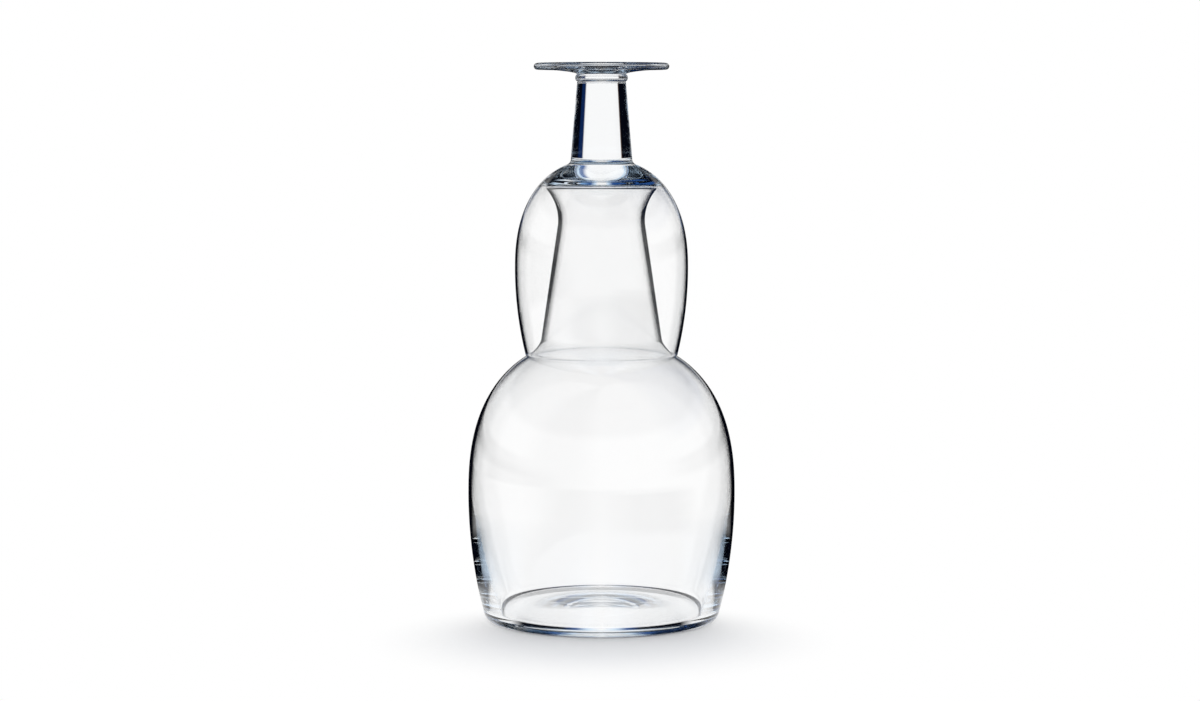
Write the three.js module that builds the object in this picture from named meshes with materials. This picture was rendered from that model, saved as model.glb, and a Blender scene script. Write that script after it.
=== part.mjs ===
// A blown glass carafe with a stemmed drinking glass upturned over its neck as a lid.
// Every piece is a body of revolution about Z. Lengths are in millimetres, and the carafe stands on Z = 0.

import * as THREE from "three";

// Carafe: body
const CARAFE_DIAMETER = 136;
const BELLY_HEIGHT = 65;
const BASE_DIAMETER = 120.4;
const HEEL_RADIUS = 3.5;
const PONTIL_DIAMETER = 41;
const PONTIL_DEPTH = 1.6;
const SHOULDER_HEIGHT = 79;
const SHOULDER_FULLNESS = 2.4;
const FLOOR_THICKNESS = 3.6;
const FLOOR_CORNER_RADIUS = 3.5;
const HEEL_WALL = 7;
const BELLY_WALL = 1.9;
const SHOULDER_WALL = 1;

// Carafe: neck
const NECK_ROOT_DIAMETER = 62.8;
const NECK_ROOT_BLEND = 5;
const NECK_TAPER = THREE.MathUtils.degToRad(8.35);
const NECK_WALL = 2.1;
const LIP_WALL = 1.1;
const LIP_DIAMETER = 56;
const LIP_FLARE_RADIUS = 24;

// Drinking glass, measured as it stands upside down: the rim is below and the foot on top
const BOWL_DIAMETER = 88;
const RIM_DIAMETER = 77.5;
const RIM_WALL = 1.2;
const BOWL_WALL = 1;
const BOWL_WIDEST_HEIGHT = 44.5;
const BOWL_DOME_HEIGHT = 55.5;
const BOWL_DOME_FULLNESS = 2.3;
const BOWL_INSIDE_DOME_HEIGHT = 54;
const BOWL_BOTTOM_RADIUS = 31;
const BOWL_BOTTOM_HEIGHT = 45;
const BOWL_BOTTOM_ROUND = 5;
const BOWL_BOTTOM_FLAT = 16;
const STEM_LENGTH = 39.8;
const STEM_ROOT_DIAMETER = 31.2;
const STEM_END_DIAMETER = 24.6;
const STEM_ROOT_FILLET = 1.5;
const COLLAR_DIAMETER = 26.6;
const COLLAR_HEIGHT = 3.4;
const FOOT_DIAMETER = 68.6;
const FOOT_EDGE_THICKNESS = 3.4;
const FOOT_CONE_HEIGHT = 2.4;
const FOOT_HOLLOW_DIAMETER = 50;
const FOOT_HOLLOW_DEPTH = 1;

// How the two fit together
const SEAT_GAP = 0.3;
const LIP_CLEARANCE = 1.8;

// Facets
const SEGMENTS = 48;
const CURVE_STEPS = 8;
const ROUND_STEPS = 4;
const SETTLE_FIRST_STEP = 1;
const SETTLE_LAST_STEP = 0.001;
const SAME_POINT_DISTANCE = 0.01;

const point = (radius, height) => new THREE.Vector2(radius, height);

const shifted = (points, rise) => points.map((p) => point(p.x, p.y + rise));

// Points along a circular arc that is upright at `upright` and passes through `end`.
function arcFromUpright(upright, end, steps) {
  const across = upright.x - end.x;
  const along = end.y - upright.y;
  const radius = (along ** 2 + across ** 2) / (2 * across);
  const sweep = Math.asin(along / radius);
  return Array.from({ length: steps + 1 }, (_, i) => {
    const angle = (sweep * i) / steps;
    return point(upright.x - radius * (1 - Math.cos(angle)), upright.y + radius * Math.sin(angle));
  });
}

// Points along a superellipse quadrant that starts upright at `radius` and closes in by `endRadius`.
function dome(radius, base, height, fullness, endRadius, steps) {
  const last = Math.acos((endRadius / radius) ** (fullness / 2));
  return Array.from({ length: steps + 1 }, (_, i) => {
    const angle = (last * i) / steps;
    return point(radius * Math.cos(angle) ** (2 / fullness), base + height * Math.sin(angle) ** (2 / fullness));
  });
}

const domeHeight = (radius, height, fullness, at) => height * (1 - (at / radius) ** fullness) ** (1 / fullness);

// The direction of that superellipse at radius `at`, going up and inwards.
function domeLean(radius, height, fullness, at) {
  const rise = domeHeight(radius, height, fullness, at);
  return point(-1, (height / radius) * ((at / radius) / (rise / height)) ** (fullness - 1)).normalize();
}

// Points along a circle, with the angle measured up from the side of the circle that faces the axis.
function arcFacingAxis(centre, radius, from, to, steps) {
  return Array.from({ length: steps + 1 }, (_, i) => {
    const angle = from + ((to - from) * i) / steps;
    return point(centre.x - radius * Math.cos(angle), centre.y + radius * Math.sin(angle));
  });
}

// Points along a half circle from `from` to `to`, bulging to the left of that direction.
function halfCircle(from, to, steps) {
  const middle = from.clone().add(to).multiplyScalar(0.5);
  const spoke = from.clone().sub(middle);
  return Array.from({ length: steps + 1 }, (_, i) => {
    const turned = spoke.clone().rotateAround(point(0, 0), (Math.PI * i) / steps);
    return middle.clone().add(turned);
  });
}

function bezier(start, startHandle, endHandle, end, steps) {
  return new THREE.CubicBezierCurve(start, startHandle, endHandle, end).getPoints(steps);
}

// Moves each point of a line of points to its left by a thickness that depends on the point.
function offsetLeft(points, thickness) {
  return points.map((p, i) => {
    const before = points[Math.max(i - 1, 0)];
    const after = points[Math.min(i + 1, points.length - 1)];
    const along = after.clone().sub(before).normalize();
    return point(p.x - along.y * thickness(p), p.y + along.x * thickness(p));
  });
}

// The part of a rising line of points that is above a height, started at that height.
function above(points, height) {
  const first = points.findIndex((p) => p.y > height);
  const under = points[first - 1];
  const start = under.clone().lerp(points[first], (height - under.y) / (points[first].y - under.y));
  return [start, ...points.slice(first)];
}

function distanceToLine(from, points) {
  const nearest = new THREE.Vector3();
  const target = new THREE.Vector3(from.x, from.y, 0);
  const stretch = new THREE.Line3();
  let least = Infinity;
  for (let i = 1; i < points.length; i += 1) {
    stretch.start.set(points[i - 1].x, points[i - 1].y, 0);
    stretch.end.set(points[i].x, points[i].y, 0);
    stretch.closestPointToPoint(target, true, nearest);
    least = Math.min(least, nearest.distanceTo(target));
  }
  return least;
}

// Moves a height from `start` in ever finer steps for as long as `isClear` holds.
function settle(start, direction, isClear) {
  let height = start;
  for (let step = SETTLE_FIRST_STEP; step > SETTLE_LAST_STEP; step /= 2) {
    while (isClear(height + direction * step)) height += direction * step;
  }
  return height;
}

// Joins stretches of a profile and leaves out a point that repeats the one before it.
function profile(...stretches) {
  const points = [];
  for (const p of stretches.flat()) {
    const last = points.at(-1);
    if (!last || last.distanceTo(p) > SAME_POINT_DISTANCE) points.push(p);
  }
  return points;
}

function revolved(name, points, material) {
  const geometry = new THREE.LatheGeometry(points, SEGMENTS);
  geometry.rotateX(Math.PI / 2);
  const mesh = new THREE.Mesh(geometry, material);
  mesh.name = name;
  return mesh;
}

// Bowl of the drinking glass, from its rim at height 0 up to the flat where the stem is joined
const bowlRadius = BOWL_DIAMETER / 2;
const rimMiddle = RIM_DIAMETER / 2 - RIM_WALL / 2;
const rimRound = RIM_WALL / 2;
const stemRoot = STEM_ROOT_DIAMETER / 2;
const stemJoint = BOWL_WIDEST_HEIGHT + domeHeight(bowlRadius, BOWL_DOME_HEIGHT, BOWL_DOME_FULLNESS, stemRoot)
  + STEM_ROOT_FILLET;

const bowlWidest = point(bowlRadius, BOWL_WIDEST_HEIGHT);
const bowlSide = arcFromUpright(bowlWidest, point(RIM_DIAMETER / 2, rimRound), CURVE_STEPS).reverse();
const bowlDome = dome(bowlRadius, BOWL_WIDEST_HEIGHT, BOWL_DOME_HEIGHT, BOWL_DOME_FULLNESS,
  stemRoot + STEM_ROOT_FILLET, CURVE_STEPS);
const stemRootCurve = bezier(
  bowlDome.at(-1),
  point(stemRoot + STEM_ROOT_FILLET / 2, stemJoint - STEM_ROOT_FILLET),
  point(stemRoot, stemJoint - STEM_ROOT_FILLET / 2),
  point(stemRoot, stemJoint),
  ROUND_STEPS,
);
const bowlInsideRadius = bowlRadius - BOWL_WALL;
const bowlInsideSide = arcFromUpright(
  point(bowlInsideRadius, BOWL_WIDEST_HEIGHT),
  point(RIM_DIAMETER / 2 - RIM_WALL, rimRound),
  CURVE_STEPS,
);
const bowlInsideDome = dome(bowlInsideRadius, BOWL_WIDEST_HEIGHT, BOWL_INSIDE_DOME_HEIGHT, BOWL_DOME_FULLNESS,
  BOWL_BOTTOM_RADIUS, CURVE_STEPS);
const bowlInsideLean = domeLean(bowlInsideRadius, BOWL_INSIDE_DOME_HEIGHT, BOWL_DOME_FULLNESS, BOWL_BOTTOM_RADIUS);
const bowlBottomHeight = BOWL_WIDEST_HEIGHT + BOWL_BOTTOM_HEIGHT;
const bowlBottom = bezier(
  bowlInsideDome.at(-1),
  bowlInsideDome.at(-1).clone().addScaledVector(bowlInsideLean, BOWL_BOTTOM_ROUND),
  point(BOWL_BOTTOM_FLAT, bowlBottomHeight),
  point(0, bowlBottomHeight),
  CURVE_STEPS,
);
const rim = halfCircle(point(RIM_DIAMETER / 2 - RIM_WALL, rimRound), point(RIM_DIAMETER / 2, rimRound), ROUND_STEPS);
const bowlInside = profile(profile(bowlInsideDome, bowlBottom).reverse(), bowlInsideSide);
const bowlProfile = profile(bowlInside, rim, bowlSide, bowlDome, stemRootCurve, [point(0, stemJoint)]);

// Stem, collar and foot, each standing on the flat end of the one below it
const stemEnd = stemJoint + STEM_LENGTH;
const stemEndRadius = STEM_END_DIAMETER / 2;
const stemProfile = [point(0, stemJoint), point(stemRoot, stemJoint), point(stemEndRadius, stemEnd), point(0, stemEnd)];

const collarEnd = stemEnd + COLLAR_HEIGHT;
const collarBulge = COLLAR_DIAMETER / 2 + (COLLAR_DIAMETER / 2 - stemEndRadius) / 3;
const collarSide = bezier(
  point(stemEndRadius, stemEnd),
  point(collarBulge, stemEnd),
  point(collarBulge, collarEnd),
  point(stemEndRadius, collarEnd),
  CURVE_STEPS,
);
const collarProfile = profile([point(0, stemEnd)], collarSide, [point(0, collarEnd)]);

const footRadius = FOOT_DIAMETER / 2;
const footTop = collarEnd + FOOT_CONE_HEIGHT + FOOT_EDGE_THICKNESS;
const footEdgeMiddle = footRadius - FOOT_EDGE_THICKNESS / 2;
const footCone = bezier(
  point(stemEndRadius, collarEnd),
  point(stemEndRadius, collarEnd + FOOT_CONE_HEIGHT / 2),
  point((stemEndRadius + footRadius) / 2, collarEnd + FOOT_CONE_HEIGHT),
  point(footEdgeMiddle, collarEnd + FOOT_CONE_HEIGHT),
  CURVE_STEPS,
);
const footEdge = halfCircle(
  point(footEdgeMiddle, collarEnd + FOOT_CONE_HEIGHT),
  point(footEdgeMiddle, footTop),
  2 * ROUND_STEPS,
);
const footHollow = bezier(
  point(FOOT_HOLLOW_DIAMETER / 2, footTop),
  point(FOOT_HOLLOW_DIAMETER / 4, footTop - FOOT_HOLLOW_DEPTH),
  point(FOOT_HOLLOW_DIAMETER / 8, footTop - FOOT_HOLLOW_DEPTH),
  point(0, footTop - FOOT_HOLLOW_DEPTH),
  ROUND_STEPS,
);
const footProfile = profile([point(0, collarEnd)], footCone, footEdge, footHollow);

// Carafe body, outside: base, heel, lower wall, shoulder and the blend into the neck
const bellyRadius = CARAFE_DIAMETER / 2;
const baseRadius = BASE_DIAMETER / 2;
const belly = point(bellyRadius, BELLY_HEIGHT);
const pontil = bezier(
  point(0, PONTIL_DEPTH),
  point(PONTIL_DIAMETER / 6, PONTIL_DEPTH),
  point(PONTIL_DIAMETER / 3, PONTIL_DEPTH / 2),
  point(PONTIL_DIAMETER / 2, 0),
  ROUND_STEPS,
);
const lowerWall = arcFromUpright(belly, point(baseRadius, HEEL_RADIUS), CURVE_STEPS).reverse();
const lowerWallLean = lowerWall[1].clone().sub(lowerWall[0]).normalize();
const heel = bezier(
  point(baseRadius - HEEL_RADIUS, 0),
  point(baseRadius - HEEL_RADIUS / 2, 0),
  lowerWall[0].clone().addScaledVector(lowerWallLean, -HEEL_RADIUS / 2),
  lowerWall[0],
  ROUND_STEPS,
);
const neckRoot = NECK_ROOT_DIAMETER / 2;
const rootHeight = BELLY_HEIGHT + domeHeight(bellyRadius, SHOULDER_HEIGHT, SHOULDER_FULLNESS, neckRoot);
const shoulderEndRadius = neckRoot + NECK_ROOT_BLEND;
const shoulder = dome(bellyRadius, BELLY_HEIGHT, SHOULDER_HEIGHT, SHOULDER_FULLNESS, shoulderEndRadius, CURVE_STEPS);
const shoulderLean = domeLean(bellyRadius, SHOULDER_HEIGHT, SHOULDER_FULLNESS, shoulderEndRadius);
const neckLean = point(-Math.sin(NECK_TAPER), Math.cos(NECK_TAPER));
const coneStart = point(neckRoot, rootHeight).addScaledVector(neckLean, NECK_ROOT_BLEND);
const rootBlend = bezier(
  shoulder.at(-1),
  shoulder.at(-1).clone().addScaledVector(shoulderLean, NECK_ROOT_BLEND / 2),
  coneStart.clone().addScaledVector(neckLean, -NECK_ROOT_BLEND / 2),
  coneStart,
  ROUND_STEPS,
);

// The glass stands where its rim meets the shoulder, and the neck is as tall as the inside of the bowl allows.
const seatLine = profile(shoulder, rootBlend, [point(0, coneStart.y)]);
const seat = settle(
  coneStart.y + RIM_WALL,
  -1,
  (height) => distanceToLine(point(rimMiddle, height + rimRound), seatLine) > rimRound + SEAT_GAP,
);
const lipRound = LIP_WALL / 2;
const lipMiddle = LIP_DIAMETER / 2 - lipRound;
const bowlInsideInPlace = shifted(bowlInside, seat);
const lipHeight = settle(
  coneStart.y,
  1,
  (height) => distanceToLine(point(lipMiddle, height), bowlInsideInPlace) > lipRound + LIP_CLEARANCE,
);

// The flare is a round stretch that starts along the neck's cone and ends at the middle of the lip.
const flareMiddleRadius = LIP_FLARE_RADIUS + lipRound;
const flareReach = neckRoot - Math.tan(NECK_TAPER) * (lipHeight - rootHeight)
  + LIP_FLARE_RADIUS / Math.cos(NECK_TAPER) - lipMiddle;
const flareEnd = Math.acos((flareReach * Math.cos(NECK_TAPER)) / flareMiddleRadius) - NECK_TAPER;
const flareCentre = point(
  lipMiddle + flareMiddleRadius * Math.cos(flareEnd),
  lipHeight - flareMiddleRadius * Math.sin(flareEnd),
);
const flareOutside = arcFacingAxis(flareCentre, LIP_FLARE_RADIUS, -NECK_TAPER, flareEnd, CURVE_STEPS);

// The wall is thick at the heel, thins up to the shoulder, thickens again up the neck and thins to the lip.
const outsideWall = profile(lowerWall, shoulder, rootBlend, flareOutside);
const wallStations = [
  { height: HEEL_RADIUS, wall: HEEL_WALL },
  { height: BELLY_HEIGHT, wall: BELLY_WALL },
  { height: rootHeight, wall: SHOULDER_WALL },
  { height: flareOutside[0].y, wall: NECK_WALL },
  { height: lipHeight, wall: LIP_WALL },
];
const wallAt = (p) => {
  const next = Math.max(1, wallStations.findIndex((station) => station.height >= p.y));
  const [low, high] = [wallStations[next - 1], wallStations[next]];
  return THREE.MathUtils.mapLinear(p.y, low.height, high.height, low.wall, high.wall);
};
const insideWall = above(offsetLeft(outsideWall, wallAt), FLOOR_THICKNESS + FLOOR_CORNER_RADIUS).reverse();
const lip = halfCircle(outsideWall.at(-1), insideWall[0], ROUND_STEPS);

const floorRadius = insideWall.at(-1).x - FLOOR_CORNER_RADIUS;
const insideWallLean = insideWall.at(-1).clone().sub(insideWall.at(-2)).normalize();
const floorCorner = bezier(
  insideWall.at(-1),
  insideWall.at(-1).clone().addScaledVector(insideWallLean, FLOOR_CORNER_RADIUS / 2),
  point(floorRadius + FLOOR_CORNER_RADIUS / 2, FLOOR_THICKNESS),
  point(floorRadius, FLOOR_THICKNESS),
  ROUND_STEPS,
);
const carafeProfile = profile(
  pontil,
  heel,
  outsideWall,
  lip,
  insideWall,
  floorCorner,
  [point(0, FLOOR_THICKNESS)],
);

// Pieces
const clearGlass = new THREE.MeshStandardMaterial({
  color: 0xe8eef2,
  roughness: 0.02,
  metalness: 0,
  transparent: true,
  opacity: 0.35,
});

const drinkingGlass = new THREE.Group();
drinkingGlass.add(
  revolved("glass_bowl", bowlProfile, clearGlass),
  revolved("glass_stem", stemProfile, clearGlass),
  revolved("glass_collar", collarProfile, clearGlass),
  revolved("glass_foot", footProfile, clearGlass),
);
drinkingGlass.position.z = seat;

const carafe = new THREE.Group();
carafe.add(revolved("carafe_vessel", carafeProfile, clearGlass), drinkingGlass);

export default carafe;
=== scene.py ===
import math

import bmesh
import bpy
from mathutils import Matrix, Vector


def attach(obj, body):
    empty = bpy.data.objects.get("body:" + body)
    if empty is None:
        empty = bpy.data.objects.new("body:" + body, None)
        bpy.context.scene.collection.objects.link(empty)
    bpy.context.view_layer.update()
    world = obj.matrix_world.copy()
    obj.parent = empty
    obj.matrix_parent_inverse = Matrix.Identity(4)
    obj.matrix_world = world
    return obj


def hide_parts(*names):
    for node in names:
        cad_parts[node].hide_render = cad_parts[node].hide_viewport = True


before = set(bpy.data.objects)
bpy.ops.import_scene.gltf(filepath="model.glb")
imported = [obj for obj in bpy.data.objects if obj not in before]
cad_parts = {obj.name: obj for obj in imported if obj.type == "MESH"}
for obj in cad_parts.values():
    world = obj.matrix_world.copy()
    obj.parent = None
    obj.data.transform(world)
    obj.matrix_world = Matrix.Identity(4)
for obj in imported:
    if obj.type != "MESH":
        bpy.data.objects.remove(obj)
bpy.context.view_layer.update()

# Carafe
# One wall of clear soda-lime glass, blown in one go: a heavy heel with a ground hollow under it, a round
# belly, a conical neck and a flared lip. The wall is thinnest at the shoulder, where the hot glass was
# stretched most.
CARAFE_DIAMETER = 136
BELLY_HEIGHT = 65
BASE_DIAMETER = 120.4
HEEL_RADIUS = 3.5
PONTIL_DIAMETER = 41
PONTIL_DEPTH = 1.6
SHOULDER_HEIGHT = 79
SHOULDER_FULLNESS = 2.4
FLOOR_THICKNESS = 3.6
FLOOR_CORNER_RADIUS = 3.5
NECK_ROOT_DIAMETER = 62.8
NECK_ROOT_BLEND = 5
NECK_TAPER = math.radians(8.35)
LIP_DIAMETER = 56
LIP_FLARE_RADIUS = 24
LIP_HEIGHT = 220.383
HEEL_WALL = 7
BELLY_WALL = 1.9
SHOULDER_WALL = 1
NECK_WALL = 2.1
LIP_WALL = 1.1

MILLIMETRE = 0.001
SHORTEST_EDGE = 1e-7
WELD_DISTANCE = 2e-6
CURVE_STEPS = 28
ROUND_STEPS = 10
TURNS = 160


def arc_from_upright(upright, end):
    """Points along a circular arc that is upright at one end and passes through the other."""
    across, along = upright.x - end.x, end.y - upright.y
    radius = (along ** 2 + across ** 2) / (2 * across)
    sweep = math.asin(along / radius)
    angles = [sweep * i / CURVE_STEPS for i in range(CURVE_STEPS + 1)]
    return [upright + radius * Vector((math.cos(a) - 1, math.sin(a))) for a in angles]


def dome_height(radius, height, fullness, at):
    return height * (1 - (at / radius) ** fullness) ** (1 / fullness)


def dome(radius, base, height, fullness, end_radius):
    """Points along a full-cheeked quarter oval that starts upright and closes in to end_radius."""
    last = math.acos((end_radius / radius) ** (fullness / 2))
    angles = [last * i / CURVE_STEPS for i in range(CURVE_STEPS + 1)]
    power = 2 / fullness
    return [Vector((radius * max(math.cos(a), 0) ** power, base + height * math.sin(a) ** power))
            for a in angles]


def bezier(start, start_handle, end_handle, end, steps=ROUND_STEPS):
    points = []
    for i in range(steps + 1):
        t = i / steps
        points.append(start * (1 - t) ** 3 + start_handle * 3 * t * (1 - t) ** 2
                      + end_handle * 3 * t ** 2 * (1 - t) + end * t ** 3)
    return points


def half_round(start, end):
    """A half circle from start to end that bulges to the left, as a fire-polished edge does."""
    middle, spoke = (start + end) / 2, (start - end) / 2
    square = Vector((-spoke.y, spoke.x))
    angles = [math.pi * i / ROUND_STEPS for i in range(ROUND_STEPS + 1)]
    return [middle + spoke * math.cos(a) + square * math.sin(a) for a in angles]


def turned(name, *stretches):
    """A glass piece turned about the upright axis from the stretches of its profile, given in millimetres."""
    mesh = bmesh.new()
    profile = [mesh.verts.new((p.x * MILLIMETRE, 0, p.y * MILLIMETRE)) for p in sum(stretches, [])]
    edges = [mesh.edges.new((start, end)) for start, end in zip(profile, profile[1:])
             if (start.co - end.co).length > SHORTEST_EDGE]
    bmesh.ops.spin(mesh, geom=profile + edges, cent=(0, 0, 0), axis=(0, 0, 1), angle=2 * math.pi,
                   steps=TURNS, use_merge=True)
    bmesh.ops.remove_doubles(mesh, verts=mesh.verts, dist=WELD_DISTANCE)
    bmesh.ops.recalc_face_normals(mesh, faces=mesh.faces)
    for face in mesh.faces:
        face.smooth = True
    data = bpy.data.meshes.new(name)
    mesh.to_mesh(data)
    mesh.free()
    piece = bpy.data.objects.new(name, data)
    bpy.context.scene.collection.objects.link(piece)
    return piece


belly = Vector((CARAFE_DIAMETER / 2, BELLY_HEIGHT))
base_radius = BASE_DIAMETER / 2
pontil_radius = PONTIL_DIAMETER / 2
pontil = bezier(Vector((0, PONTIL_DEPTH)), Vector((pontil_radius / 3, PONTIL_DEPTH)),
                Vector((pontil_radius / 1.5, PONTIL_DEPTH / 2)), Vector((pontil_radius, 0)))
lower_wall = arc_from_upright(belly, Vector((base_radius, HEEL_RADIUS)))[::-1]
lower_lean = (lower_wall[1] - lower_wall[0]).normalized()
heel = bezier(Vector((base_radius - HEEL_RADIUS, 0)), Vector((base_radius - HEEL_RADIUS / 2, 0)),
              lower_wall[0] - lower_lean * HEEL_RADIUS / 2, lower_wall[0])

neck_root = NECK_ROOT_DIAMETER / 2
root_height = BELLY_HEIGHT + dome_height(belly.x, SHOULDER_HEIGHT, SHOULDER_FULLNESS, neck_root)
shoulder = dome(belly.x, BELLY_HEIGHT, SHOULDER_HEIGHT, SHOULDER_FULLNESS, neck_root + NECK_ROOT_BLEND)
shoulder_lean = (shoulder[-1] - shoulder[-2]).normalized()
neck_lean = Vector((-math.sin(NECK_TAPER), math.cos(NECK_TAPER)))
cone_start = Vector((neck_root, root_height)) + neck_lean * NECK_ROOT_BLEND
root_blend = bezier(shoulder[-1], shoulder[-1] + shoulder_lean * NECK_ROOT_BLEND / 2,
                    cone_start - neck_lean * NECK_ROOT_BLEND / 2, cone_start)

lip_round = LIP_WALL / 2
lip_middle = LIP_DIAMETER / 2 - lip_round
flare_middle = LIP_FLARE_RADIUS + lip_round
flare_reach = (neck_root - math.tan(NECK_TAPER) * (LIP_HEIGHT - root_height)
               + LIP_FLARE_RADIUS / math.cos(NECK_TAPER) - lip_middle)
flare_end = math.acos(flare_reach * math.cos(NECK_TAPER) / flare_middle) - NECK_TAPER
flare_centre = Vector((lip_middle + flare_middle * math.cos(flare_end),
                       LIP_HEIGHT - flare_middle * math.sin(flare_end)))
flare_angles = [-NECK_TAPER + (flare_end + NECK_TAPER) * i / CURVE_STEPS for i in range(CURVE_STEPS + 1)]
flare = [flare_centre + LIP_FLARE_RADIUS * Vector((-math.cos(a), math.sin(a))) for a in flare_angles]
cone = [cone_start.lerp(flare[0], i / CURVE_STEPS) for i in range(1, CURVE_STEPS)]
outside = lower_wall + shoulder[1:] + root_blend[1:] + cone + flare

WALL_STATIONS = [(HEEL_RADIUS, HEEL_WALL), (BELLY_HEIGHT, BELLY_WALL), (root_height, SHOULDER_WALL),
                 (flare[0].y, NECK_WALL), (LIP_HEIGHT, LIP_WALL)]
WALL_EASE = 9
EASE_STEPS = 4


def wall_at(height):
    """The wall thickness between its stations, in straight stretches."""
    for (low, low_wall), (high, high_wall) in zip(WALL_STATIONS, WALL_STATIONS[1:]):
        if height <= high:
            break
    return low_wall + (high_wall - low_wall) * (height - low) / (high - low)


def eased_wall_at(height):
    """The same thickness with its stretches eased into each other, as soft glass flows."""
    ease = min(WALL_EASE, LIP_HEIGHT - height)
    walls = [wall_at(height + ease * i / EASE_STEPS) for i in range(-EASE_STEPS, EASE_STEPS + 1)]
    return sum(walls) / len(walls)


inside = []
for before, here, after in zip(outside[:1] + outside, outside, outside[1:] + outside[-1:]):
    along = (after - before).normalized()
    inside.append(here + eased_wall_at(here.y) * Vector((-along.y, along.x)))
lip = half_round(outside[-1], inside[-1])
corner_top = FLOOR_THICKNESS + FLOOR_CORNER_RADIUS
inside = [p for p in inside if p.y > corner_top][::-1]
inside_lean = (inside[-1] - inside[-2]).normalized()
inside.append(inside[-1] + inside_lean * (corner_top - inside[-1].y) / inside_lean.y)
floor_edge = Vector((inside[-1].x - FLOOR_CORNER_RADIUS, FLOOR_THICKNESS))
floor_corner = bezier(inside[-1], inside[-1] + inside_lean * FLOOR_CORNER_RADIUS / 2,
                      floor_edge + Vector((FLOOR_CORNER_RADIUS / 2, 0)), floor_edge)
carafe_floor = [floor_edge * (1 - i / ROUND_STEPS) + Vector((0, FLOOR_THICKNESS)) * i / ROUND_STEPS
                for i in range(1, ROUND_STEPS + 1)]
carafe = turned("carafe", pontil, heel, outside, lip, inside, floor_corner, carafe_floor)


def node(tree, kind, inputs={}, **settings):
    """A shader node with its settings made and its inputs set, or joined where a socket is given."""
    made = tree.nodes.new(kind)
    for name, value in settings.items():
        setattr(made, name, value)
    for key, value in inputs.items():
        if isinstance(value, bpy.types.NodeSocket):
            tree.links.new(value, made.inputs[key])
        else:
            made.inputs[key].default_value = value
    return made


GLASS_INDEX = 1.52
GLASS_TINT = (0.78, 0.91, 1.0, 1)
TINT_DENSITY = 2.5
LEAST_CLARITY = 0.985
RIPPLE_STRETCH = (1, 1, 0.45)
RIPPLE_STRENGTH = 0.05
RIPPLE_DEPTH = 0.0004
CARAFE_RIPPLES = 18


def clear_glass(name, ripple_scale):
    """Clear blown glass: faint ripples left by blowing, and a blue tint that shows only in thick glass."""
    material = bpy.data.materials.new(name)
    material.use_nodes = True
    tree = material.node_tree
    place = node(tree, "ShaderNodeTexCoord").outputs["Object"]
    stretched = node(tree, "ShaderNodeMapping", {"Vector": place, "Scale": RIPPLE_STRETCH}).outputs["Vector"]
    noise = node(tree, "ShaderNodeTexNoise", {"Vector": stretched, "Scale": ripple_scale, "Detail": 1.0})
    ripple = noise.outputs["Fac"]
    bump = node(tree, "ShaderNodeBump", {"Strength": RIPPLE_STRENGTH, "Distance": RIPPLE_DEPTH,
                                         "Height": ripple})
    clarity = node(tree, "ShaderNodeMapRange", {"Value": ripple, "To Min": LEAST_CLARITY, "To Max": 1.0})
    glass = tree.nodes["Principled BSDF"]
    glass.inputs["IOR"].default_value = GLASS_INDEX
    glass.inputs["Transmission Weight"].default_value = 1
    glass.inputs["Roughness"].default_value = 0
    tree.links.new(clarity.outputs["Result"], glass.inputs["Base Color"])
    tree.links.new(bump.outputs["Normal"], glass.inputs["Normal"])
    tint = node(tree, "ShaderNodeVolumeAbsorption", {"Color": GLASS_TINT, "Density": TINT_DENSITY})
    tree.links.new(tint.outputs["Volume"], tree.nodes["Material Output"].inputs["Volume"])
    return material


carafe.data.materials.append(clear_glass("carafe_glass", CARAFE_RIPPLES))
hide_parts("carafe_vessel")
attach(carafe, "carafe")

# Drinking glass
# The lid: a stemmed glass of clear blown glass, turned upside down over the neck, its rim on the shoulder.
# Its thin egg-shaped bowl has a thick bottom, and the solid stem, the collar and the disc foot were fused on
# while hot.
BOWL_DIAMETER = 88
RIM_DIAMETER = 77.5
RIM_WALL = 1.2
BOWL_WALL = 1
BOWL_WIDEST_HEIGHT = 44.5
BOWL_DOME_HEIGHT = 55.5
BOWL_DOME_FULLNESS = 2.3
BOWL_INSIDE_DOME_HEIGHT = 54
BOWL_BOTTOM_RADIUS = 31
BOWL_BOTTOM_HEIGHT = 45
BOWL_BOTTOM_ROUND = 5
BOWL_BOTTOM_FLAT = 16
STEM_LENGTH = 39.8
STEM_ROOT_DIAMETER = 31.2
STEM_END_DIAMETER = 24.6
STEM_ROOT_FILLET = 1.5
COLLAR_DIAMETER = 26.6
COLLAR_HEIGHT = 3.4
FOOT_DIAMETER = 68.6
FOOT_EDGE_THICKNESS = 3.4
FOOT_CONE_HEIGHT = 2.4
FOOT_HOLLOW_DIAMETER = 50
FOOT_HOLLOW_DEPTH = 1
RIM_SEAT_HEIGHT = 135.419
DRINKING_GLASS_RIPPLES = 24
FOOT_FACE_STEPS = 4

seat = Vector((0, RIM_SEAT_HEIGHT))
bowl_radius, rim_radius, stem_root, stem_end = (
    d / 2 for d in (BOWL_DIAMETER, RIM_DIAMETER, STEM_ROOT_DIAMETER, STEM_END_DIAMETER))
rim_round = RIM_WALL / 2
inside_dome = dome(bowl_radius - BOWL_WALL, BOWL_WIDEST_HEIGHT, BOWL_INSIDE_DOME_HEIGHT, BOWL_DOME_FULLNESS,
                   BOWL_BOTTOM_RADIUS)
dome_lean = (inside_dome[-1] - inside_dome[-2]).normalized()
bottom_middle = Vector((0, BOWL_WIDEST_HEIGHT + BOWL_BOTTOM_HEIGHT))
bowl_bottom = bezier(inside_dome[-1], inside_dome[-1] + dome_lean * BOWL_BOTTOM_ROUND,
                     bottom_middle + Vector((BOWL_BOTTOM_FLAT, 0)), bottom_middle, CURVE_STEPS)
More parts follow.
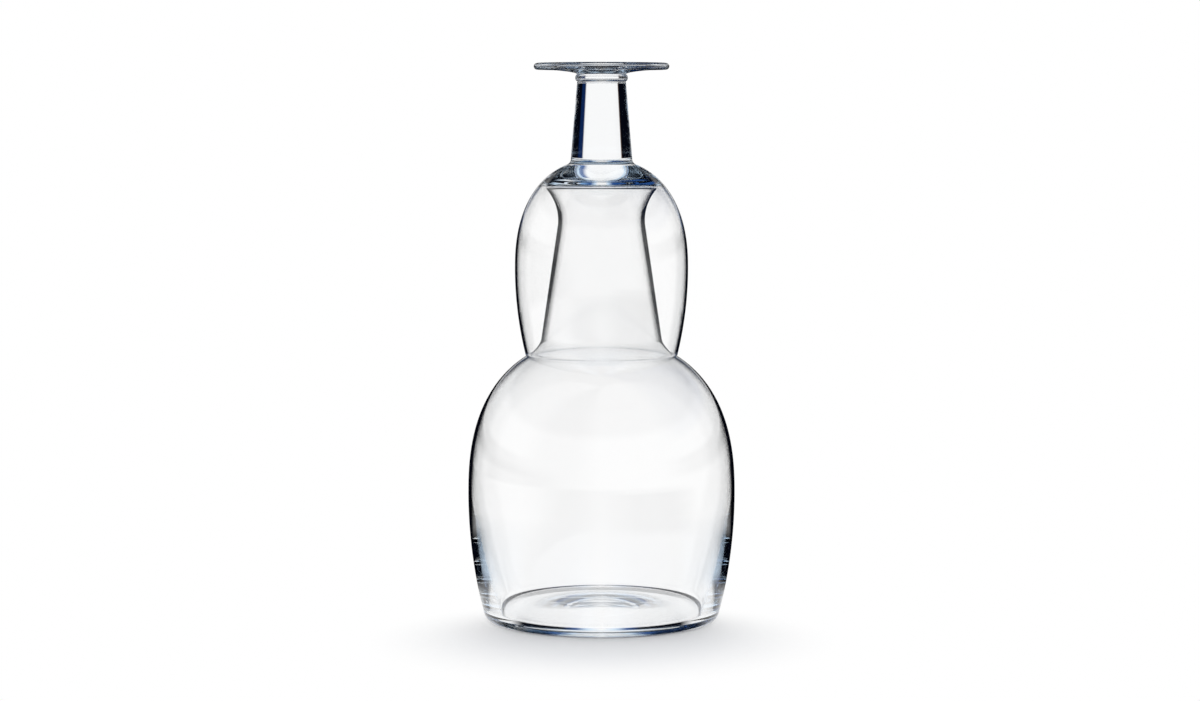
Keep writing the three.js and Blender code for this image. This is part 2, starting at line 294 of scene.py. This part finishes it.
bowl_inside = (inside_dome + bowl_bottom[1:])[::-1]
inside_side = arc_from_upright(bowl_inside[-1], Vector((rim_radius - RIM_WALL, rim_round)))
rim = half_round(inside_side[-1], Vector((rim_radius, rim_round)))
bowl_side = arc_from_upright(Vector((bowl_radius, BOWL_WIDEST_HEIGHT)), rim[-1])[::-1]
bowl_dome = dome(bowl_radius, BOWL_WIDEST_HEIGHT, BOWL_DOME_HEIGHT, BOWL_DOME_FULLNESS,
                 stem_root + STEM_ROOT_FILLET)

stem_joint = Vector((stem_root, STEM_ROOT_FILLET + BOWL_WIDEST_HEIGHT
                     + dome_height(bowl_radius, BOWL_DOME_HEIGHT, BOWL_DOME_FULLNESS, stem_root)))
root_curve = bezier(bowl_dome[-1], stem_joint + Vector((STEM_ROOT_FILLET / 2, -STEM_ROOT_FILLET)),
                    stem_joint - Vector((0, STEM_ROOT_FILLET / 2)), stem_joint)
stem_top = Vector((stem_end, stem_joint.y + STEM_LENGTH))
stem = [stem_joint.lerp(stem_top, i / CURVE_STEPS) for i in range(1, CURVE_STEPS)]
collar_bulge = COLLAR_DIAMETER / 2 + (COLLAR_DIAMETER / 2 - stem_end) / 3
collar_top = stem_top + Vector((0, COLLAR_HEIGHT))
collar = bezier(stem_top, Vector((collar_bulge, stem_top.y)),
                Vector((collar_bulge, collar_top.y)), collar_top)
foot_radius = FOOT_DIAMETER / 2
foot_edge_low = Vector((foot_radius - FOOT_EDGE_THICKNESS / 2, collar_top.y + FOOT_CONE_HEIGHT))
foot_edge_high = foot_edge_low + Vector((0, FOOT_EDGE_THICKNESS))
foot_cone = bezier(collar_top, collar_top + Vector((0, FOOT_CONE_HEIGHT / 2)),
                   Vector(((stem_end + foot_radius) / 2, foot_edge_low.y)), foot_edge_low, CURVE_STEPS)
hollow_radius = FOOT_HOLLOW_DIAMETER / 2
hollow_level = foot_edge_high.y - FOOT_HOLLOW_DEPTH
hollow_edge = Vector((hollow_radius, foot_edge_high.y))
foot_edge = half_round(foot_edge_low, foot_edge_high)
foot_face = [foot_edge_high.lerp(hollow_edge, i / FOOT_FACE_STEPS) for i in range(1, FOOT_FACE_STEPS)]
foot_hollow = bezier(hollow_edge, Vector((hollow_radius / 2, hollow_level)),
                     Vector((hollow_radius / 4, hollow_level)), Vector((0, hollow_level)), CURVE_STEPS)
glass_profile = (bowl_inside + inside_side[1:] + rim[1:] + bowl_side[1:] + bowl_dome[1:] + root_curve[1:]
                 + stem + collar + foot_cone[1:] + foot_edge[1:] + foot_face + foot_hollow)
drinking_glass = turned("drinking_glass", [p + seat for p in glass_profile])

drinking_glass.data.materials.append(clear_glass("drinking_glass_clear", DRINKING_GLASS_RIPPLES))
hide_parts("glass_bowl", "glass_stem", "glass_collar", "glass_foot")
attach(drinking_glass, "drinking_glass")

# Table
# A round table top, plain white far out. Its diffuse paint takes the real soft shadow of the glass, but the
# paint is darker and bluer than white, which is painted shade, and it shows only in a patch centred in front
# of the glass; past the patch the top glows plain white. So the shadow is real in shape near the glass and
# painted in its tone and reach. Light that the glass only bends finds it white. Light that the glass mirrors
# finds dark and bright sectors on it, painted reflections in place of dark screens and bright windows round
# the table.
TABLE_RADIUS = 1.2
TABLE_SIDES = 128
TABLE_GAP = 0.0002
# Painted shade: darker and bluer than white, so the shadow near the glass comes out deeper and blue-grey.
SHADE_TINTED_PAINT = (0.915, 0.925, 0.945, 1)
# Painted shadow: the patch where that paint shows, centred in front of the glass and fading to glowing white.
SHADOW_MIDDLE = (0, -0.065, 0)
SHADOW_FADES_FROM = 0.03
SHADOW_ENDS_AT = 0.12
WHITE = (1, 1, 1, 1)
BLACK = (0, 0, 0, 1)
PALE_BLUE = (0.62, 0.78, 0.95, 1)
SKY_BLUE = (0.25, 0.45, 0.75, 1)
DEEP_BLUE = (0.02, 0.08, 0.28, 1)
NIGHT = (0.0015, 0.002, 0.005, 1)
BROWN = (0.09, 0.04, 0.02, 1)
INK_BLUE = (0.004, 0.018, 0.085, 1)


def mix(tree, factor, first, second):
    return node(tree, "ShaderNodeMix", {"Factor": factor, 6: first, 7: second}, data_type="RGBA").outputs[2]


HALF_A_COUNT = 0.5


def math_of(tree, operation, first, second=0.0):
    made = node(tree, "ShaderNodeMath", {0: first, 1: second, 2: HALF_A_COUNT}, operation=operation)
    return made.outputs[0]


def ramp(tree, factor, stops):
    made = node(tree, "ShaderNodeValToRGB", {"Fac": factor})
    elements = made.color_ramp.elements
    while len(elements) < len(stops):
        elements.new(0.5)
    for element, (position, colour) in zip(elements, stops):
        element.position = position
        element.color = colour
    return made.outputs["Color"]


def by_turn(tree, heading, *stops):
    """Colours by the turn from straight behind the glass, in degrees: below zero to the left, above zero to
    the right. Stops that are all above zero count for both sides."""
    turn = math_of(tree, "DIVIDE", math_of(tree, "ARCTAN2", heading["X"], heading["Y"]), 2 * math.pi)
    if stops[0][0] >= 0:
        stops = [(-degrees, colour) for degrees, colour in stops[::-1]] + list(stops)
    return ramp(tree, math_of(tree, "ADD", turn, 0.5),
                [(0.5 + degrees / 360, colour) for degrees, colour in stops])


def as_glass_shows(tree, bent, outside, near_wall, far_wall, neck, deep, deep_inside):
    """What light meets on its way through the glass, by what happened to it there: only bent, mirrored once
    off the outside, a near wall, a far wall or the neck under the lid, or mirrored again and again in thick
    glass, which is counted as deep inside after more than four crossings."""
    # Painted reflections: each of these ways gets its own colours, so the glass shows no single room.
    path = node(tree, "ShaderNodeLightPath").outputs
    crossings = path["Transmission Depth"]
    once = math_of(tree, "GREATER_THAN", path["Glossy Depth"], 0.5)
    again = math_of(tree, "GREATER_THAN", path["Glossy Depth"], 1.5)
    mirrored = far_wall
    for count, colour in ((0, outside), (2, near_wall), (6, neck)):
        mirrored = mix(tree, math_of(tree, "COMPARE", crossings, count), mirrored, colour)
    deep = mix(tree, math_of(tree, "GREATER_THAN", crossings, 4.5), deep, deep_inside)
    return mix(tree, once, bent, mix(tree, again, mirrored, deep))


# Bright and dark sectors of the painted reflections that more than one pattern has
STRIP = ((5, WHITE), (10, PALE_BLUE), (16, DEEP_BLUE), (24, NIGHT))
BESIDE = ((-150, WHITE), (-118, NIGHT), (-72, NIGHT), (-58, WHITE), (-44, WHITE), (-32, NIGHT), (32, NIGHT),
          (44, WHITE))
NECK = ((46, NIGHT), (58, WHITE))
CORNER = ((90, WHITE), (118, NIGHT), (152, NIGHT), (178, WHITE))

table_top = bmesh.new()
bmesh.ops.create_circle(table_top, cap_ends=True, segments=TABLE_SIDES, radius=TABLE_RADIUS)
bmesh.ops.translate(table_top, verts=table_top.verts, vec=(0, 0, -TABLE_GAP))
table_mesh = bpy.data.meshes.new("table")
table_top.to_mesh(table_mesh)
table_top.free()
table = bpy.data.objects.new("table", table_mesh)
bpy.context.scene.collection.objects.link(table)

table_white = bpy.data.materials.new("table_white")
table_white.use_nodes = True
tree = table_white.node_tree
tree.nodes.remove(tree.nodes["Principled BSDF"])
place = node(tree, "ShaderNodeTexCoord").outputs["Object"]
reach = node(tree, "ShaderNodeVectorMath", {0: place}, operation="LENGTH").outputs["Value"]
spot = node(tree, "ShaderNodeSeparateXYZ", {0: place}).outputs
# Inside the patch the shade-tinted paint shows the real shadow; past it the top glows white and shows none.
from_shadow = node(tree, "ShaderNodeVectorMath", {0: place, 1: SHADOW_MIDDLE}, operation="DISTANCE")
plain = node(tree, "ShaderNodeMapRange",
             {"Value": from_shadow.outputs["Value"], "From Min": SHADOW_FADES_FROM,
              "From Max": SHADOW_ENDS_AT}, interpolation_type="SMOOTHSTEP")
paint = node(tree, "ShaderNodeBsdfDiffuse", {"Color": SHADE_TINTED_PAINT})
glow = node(tree, "ShaderNodeEmission", {"Color": WHITE})
seen = node(tree, "ShaderNodeMixShader",
            {0: plain.outputs["Result"], 1: paint.outputs[0], 2: glow.outputs[0]})


def within(near, far):
    """White up to the first distance from the table's middle, in metres, and black past the second."""
    return ramp(table_white.node_tree, reach, [(near, WHITE), (far, BLACK)])


def beyond(near, far):
    """Black up to the first distance from the table's middle, in metres, and white past the second."""
    return ramp(table_white.node_tree, reach, [(near, BLACK), (far, WHITE)])


# Painted reflections: what the glass mirrors of the table top glows in dark, blue and white sectors by
# distance and turn, with its own sectors for each way the light took through the glass.
close_by = within(0.08, 0.2)
under_heel = by_turn(tree, spot, (56, PALE_BLUE), (62, DEEP_BLUE), (78, NIGHT), (86, WHITE), (122, WHITE),
                     (132, NIGHT), (158, NIGHT), (166, DEEP_BLUE), (172, PALE_BLUE), (180, WHITE))
by_heel = by_turn(tree, spot, (112, PALE_BLUE), (125, NIGHT), (155, DEEP_BLUE), (168, PALE_BLUE),
                  (180, WHITE))
under_heel = mix(tree, beyond(0.08, 0.095), under_heel, by_heel)
painted_windows = by_turn(tree, spot, (-148, NIGHT), (-130, WHITE), (-40, WHITE), (-30, NIGHT), (30, NIGHT),
                  (40, WHITE), (94, WHITE), (120, NIGHT))
near_wall = mix(tree, beyond(0.13, 0.2), NIGHT, painted_windows)
near_wall = mix(tree, beyond(0.8, 1), near_wall, by_turn(tree, spot, *BESIDE))
near_wall = mix(tree, close_by, near_wall, under_heel)
contact = by_turn(tree, spot, (112, WHITE), (124, NIGHT), (160, NIGHT), (172, WHITE))
outside = mix(tree, beyond(0.26, 0.32), by_turn(tree, spot, (62, NIGHT), (80, WHITE)),
              by_turn(tree, spot, (-50, WHITE), (-36, NIGHT), (36, NIGHT), (50, WHITE), *CORNER))
outside = mix(tree, within(0.09, 0.13), outside, WHITE)
outside = mix(tree, within(0.072, 0.084), outside, contact)
behind = by_turn(tree, spot, (-36, WHITE), (-26, NIGHT), (26, NIGHT), (36, WHITE))
far_wall = mix(tree, close_by, behind, WHITE)
neck = by_turn(tree, spot, (-58, WHITE), (-46, NIGHT), *NECK, *CORNER)
deep = mix(tree, close_by, NIGHT, PALE_BLUE)
# The table glows this pattern only for rays from the glass: a painted reflection, not a lamp.
in_glass = as_glass_shows(tree, WHITE, outside, near_wall, far_wall, neck, deep, deep)
in_glass = node(tree, "ShaderNodeEmission", {"Color": in_glass})
through_glass = node(tree, "ShaderNodeLightPath").outputs["Is Glossy Ray"]
surface = node(tree, "ShaderNodeMixShader", {0: through_glass, 1: seen.outputs[0], 2: in_glass.outputs[0]})
tree.links.new(surface.outputs[0], tree.nodes["Material Output"].inputs["Surface"])
table.data.materials.append(table_white)

# Room
# A white sweep behind the glass, dark screens to both sides and a dark ceiling, so that the edges of the
# clear glass draw themselves in dark lines. Only what shows in the glass has this pattern, and each way that
# light takes through the glass has its own, so the dark lines, blue tints and bright patches in the glass are
# painted reflections rather than one room. The light that falls on everything else is white and even.
room = bpy.data.worlds.new("room")
room.use_nodes = True
bpy.context.scene.world = room
tree = room.node_tree
tree.nodes.clear()
around = node(tree, "ShaderNodeTexCoord").outputs["Generated"]
heading = node(tree, "ShaderNodeSeparateXYZ", {0: around}).outputs
lift = node(tree, "ShaderNodeMapRange", {"Value": heading["Z"], "From Min": -1, "From Max": 1})


def above(low, high):
    """Black below the first height over the horizon, in degrees, and white above the second."""
    heights = [(1 + math.sin(math.radians(degrees))) / 2 for degrees in (low, high)]
    return ramp(room.node_tree, lift.outputs["Result"], list(zip(heights, (BLACK, WHITE))))


# Painted reflections for light that the glass only bends: white behind, dark beside, brown and ink-blue
# fringes at the edges of the white.
painted_screens = by_turn(tree, heading, (-152, WHITE), (-150, DEEP_BLUE), (-148, NIGHT), (-107, NIGHT),
                  (-105, DEEP_BLUE), (-103, WHITE), (-77, WHITE), (-75, DEEP_BLUE), (-73, NIGHT),
                  (-32.5, NIGHT), (-31, BROWN), (-30, WHITE), (27.5, WHITE), (29, INK_BLUE), (38, INK_BLUE),
                  (41, NIGHT), (73, NIGHT), (75, DEEP_BLUE), (77, WHITE), (103, WHITE), (105, DEEP_BLUE),
                  (107, NIGHT), (148, NIGHT), (150, DEEP_BLUE), (152, WHITE))
strip = by_turn(tree, heading, *STRIP)
bent = mix(tree, above(26, 34), painted_screens, strip)

front = by_turn(tree, heading, (97, NIGHT), (125, WHITE))
painted_front_windows = by_turn(tree, heading, (46, WHITE), (58, NIGHT), (97, NIGHT), (125, WHITE))
stem_edge = mix(tree, above(4.5, 6), front, painted_front_windows)
upper_edge = mix(tree, above(24, 30), by_turn(tree, heading, (14, NIGHT), (34, WHITE)), NIGHT)
outside = mix(tree, above(0, 2.5), by_turn(tree, heading, (26, NIGHT), (38, WHITE)),
              mix(tree, above(8, 10), stem_edge, upper_edge))

# Painted highlight: light near a wall of the glass finds white to the left, which shows as a bright band down
# one flank.
painted_left_light = by_turn(tree, heading, (-180, WHITE), (24, WHITE), (36, DEEP_BLUE), (97, DEEP_BLUE),
                     (125, WHITE))
low_wall = mix(tree, above(0, 4), by_turn(tree, heading, *BESIDE),
               by_turn(tree, heading, (20, NIGHT), (32, WHITE)))
near_wall = mix(tree, above(15, 21), low_wall, painted_left_light)
far_wall = mix(tree, above(5, 8), by_turn(tree, heading, (46, NIGHT), (56, WHITE)), WHITE)
neck = mix(tree, above(6, 8.5), by_turn(tree, heading, *NECK), WHITE)

# Painted reflections for light mirrored again and again in thick glass: blue, white and dark sectors.
sides = by_turn(tree, heading, (-112, NIGHT), (-104, PALE_BLUE), (-86, PALE_BLUE), (-80, SKY_BLUE),
                (-72, NIGHT), (-62, DEEP_BLUE), (-12, DEEP_BLUE), (-7, PALE_BLUE), (-4, WHITE), (4, WHITE),
                (7, PALE_BLUE), (12, DEEP_BLUE), (24, SKY_BLUE), (32, WHITE), (54, PALE_BLUE), (62, NIGHT),
                (72, NIGHT), (80, PALE_BLUE), (86, WHITE), (104, WHITE), (112, NIGHT))
overhead = by_turn(tree, heading, *STRIP, (125, NIGHT), (140, PALE_BLUE), (160, PALE_BLUE), (174, NIGHT))
low_sides = by_turn(tree, heading, (-104, NIGHT), (-98, PALE_BLUE), (-82, PALE_BLUE), (-72, NIGHT),
                    (72, NIGHT), (82, WHITE), (98, WHITE), (104, NIGHT))
deep = mix(tree, above(1.5, 4.5), low_sides, mix(tree, above(17, 23), sides, overhead))
deep_inside = mix(tree, above(24, 28), NIGHT, strip)

in_glass = as_glass_shows(tree, bent, outside, near_wall, far_wall, neck, deep, deep_inside)
through_glass = node(tree, "ShaderNodeLightPath").outputs["Is Glossy Ray"]
light = node(tree, "ShaderNodeBackground", {"Color": mix(tree, through_glass, WHITE, in_glass)})
node(tree, "ShaderNodeOutputWorld", {"Surface": light.outputs[0]})

# Camera
# A long lens as high as the stem of the drinking glass, tilted a little down to the middle of the object.
# Light may take enough turns to get through the thick glass of the foot and the heel.
LENS_LENGTH = 91.5
SENSOR_WIDTH = 36
CAMERA_PLACE = (-0.00077, -1.549, 0.259)
LOOK_DOWN = 4.476
ALL_TURNS = 48
GLASS_TURNS = 32

lens = bpy.data.cameras.new("camera")
lens.lens = LENS_LENGTH
lens.sensor_width = SENSOR_WIDTH
camera = bpy.data.objects.new("camera", lens)
camera.location = CAMERA_PLACE
camera.rotation_euler = (math.radians(90 - LOOK_DOWN), 0, 0)
bpy.context.scene.collection.objects.link(camera)
bpy.context.scene.camera = camera
bpy.context.scene.view_settings.view_transform = "Standard"
bpy.context.scene.cycles.max_bounces = ALL_TURNS
bpy.context.scene.cycles.transmission_bounces = GLASS_TURNS
bpy.context.scene.cycles.glossy_bounces = GLASS_TURNS
